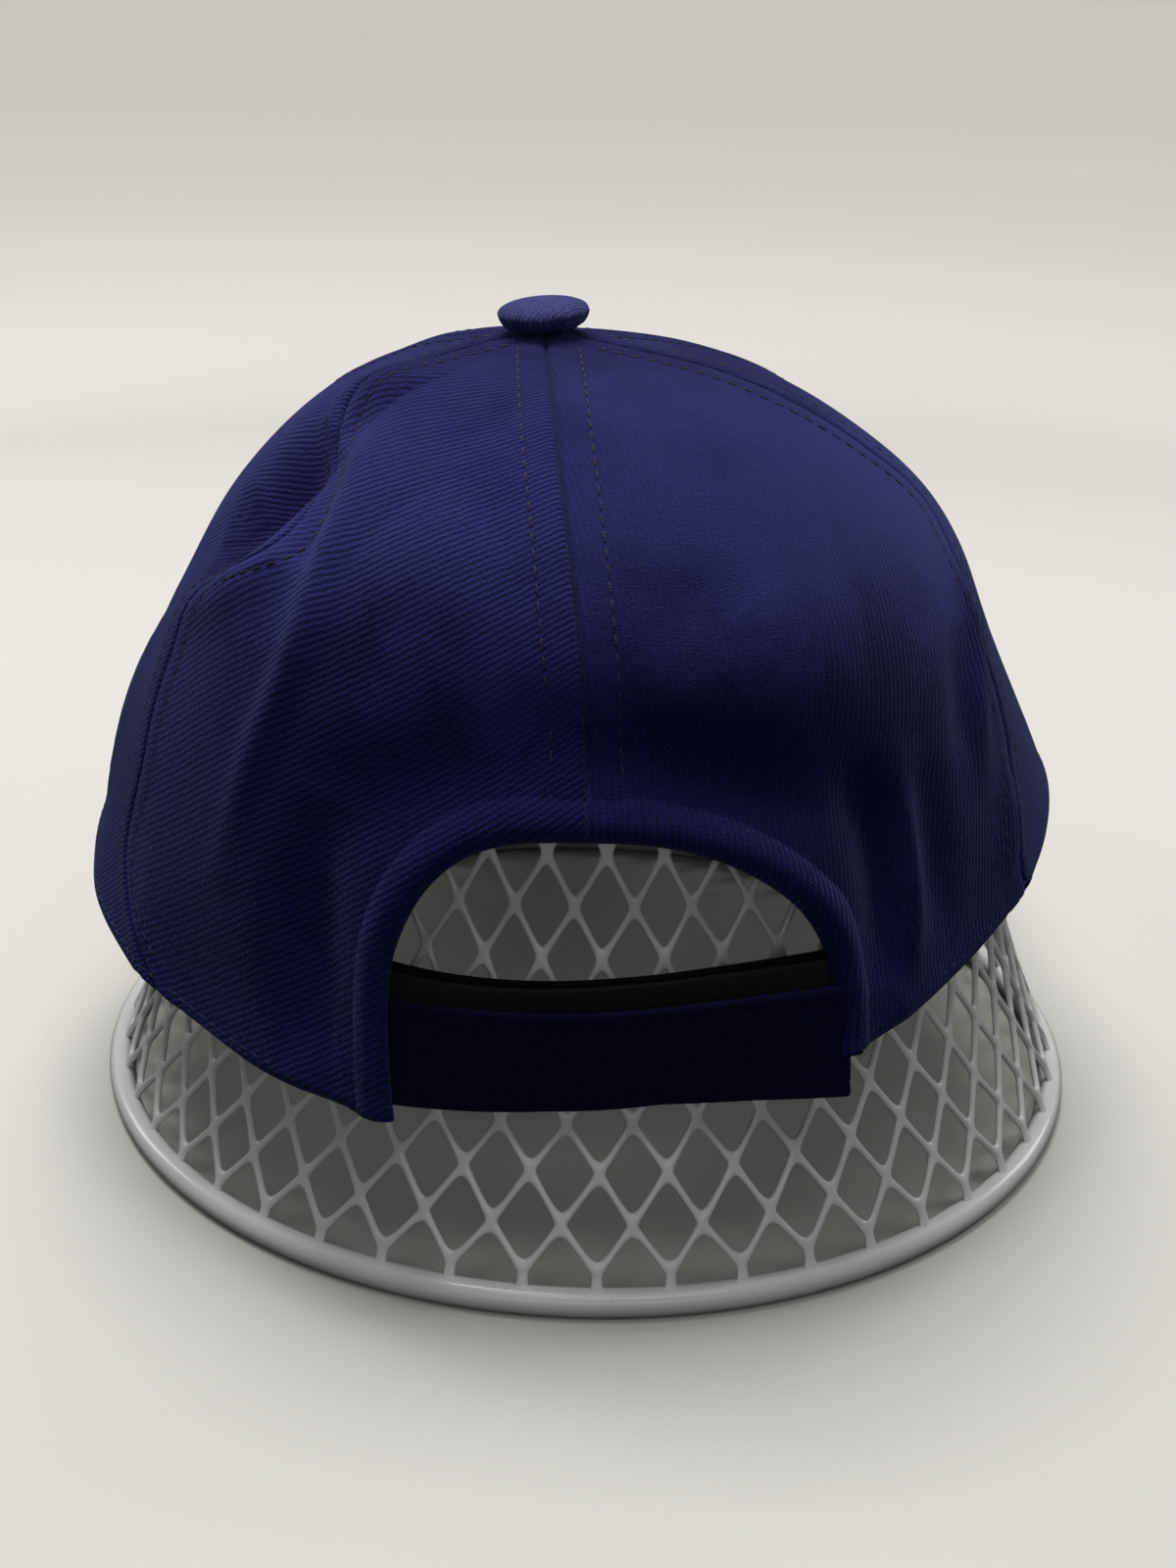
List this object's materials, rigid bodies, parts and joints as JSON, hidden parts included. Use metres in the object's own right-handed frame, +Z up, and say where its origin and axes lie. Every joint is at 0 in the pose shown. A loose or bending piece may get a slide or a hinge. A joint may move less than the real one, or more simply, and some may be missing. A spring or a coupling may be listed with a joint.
{
  "type": "cap on a display stand",
  "caption": "Soft twill cap with a visor, cloth button and hook-and-loop back strap, resting on an upturned white expanded-metal basket used as its display stand.",
  "frame": {"origin": "on the surface the basket stands on, under the middle of the whole footprint (basket and visor together); the basket's axis is 33 mm towards -Y from it", "axes": "+Z up; the visor points to +Y and the back opening with its strap faces -Y; +X is to the wearer's right"},
  "size_m": [0.192, 0.258, 0.1509],
  "materials": {
    "crown_twill": "brushed diagonal twill, matte with a soft nap",
    "seam_tape": "plain woven tape",
    "buckram": "stiffened open weave",
    "sweatband_twill": "fine twill",
    "strap_cloth": "dense plain cloth, matte",
    "hook_tape": "nylon hooks",
    "loop_tape": "nylon loop pile",
    "visor_board": "moulded sheet",
    "rivet_metal": "plain pressed metal",
    "white_enamel": "gloss enamel"
  },
  "bodies": {
    "stand": {"basket_wall": "white_enamel", "basket_rim": "white_enamel", "basket_pan": "white_enamel"},
    "cap": {"panel_back_left": "crown_twill", "panel_back_right": "crown_twill", "panel_side_left": "crown_twill", "panel_side_right": "crown_twill", "panel_front_left": "crown_twill", "panel_front_right": "crown_twill", "buckram_left": "buckram", "buckram_right": "buckram", "tape_back_centre": "seam_tape", "tape_back_left": "seam_tape", "tape_back_right": "seam_tape", "tape_front_centre": "seam_tape", "tape_front_left": "seam_tape", "tape_front_right": "seam_tape", "sweatband": "sweatband_twill", "opening_binding": "seam_tape", "hook_strap_sewn_end": "strap_cloth", "loop_strap_sewn_end": "strap_cloth", "visor_board": "visor_board", "visor_upper_cover": "crown_twill", "visor_under_cover": "crown_twill", "button": "crown_twill", "button_rivet": "rivet_metal", "button_washer": "rivet_metal"},
    "hook_strap": {"hook_strap": "strap_cloth", "hook_patch": "hook_tape"},
    "loop_strap": {"loop_strap": "strap_cloth", "loop_patch": "loop_tape"}
  },
  "joints": [
    {"name": "cap_lift", "type": "slide", "parent": "stand", "child": "cap", "axis": [0, 0, 1], "range_m": [0, 0.12]},
    {"name": "hook_strap_peel", "type": "hinge", "parent": "cap", "child": "hook_strap", "pos_m": [-0.02703, -0.11926, 0.0445], "axis": [0, 0, -1], "range_deg": [0, 100]},
    {"name": "loop_strap_flex", "type": "hinge", "parent": "cap", "child": "loop_strap", "pos_m": [0.0419, -0.10844, 0.0485], "axis": [0, 0, -1], "range_deg": [0, 3]}
  ]
}
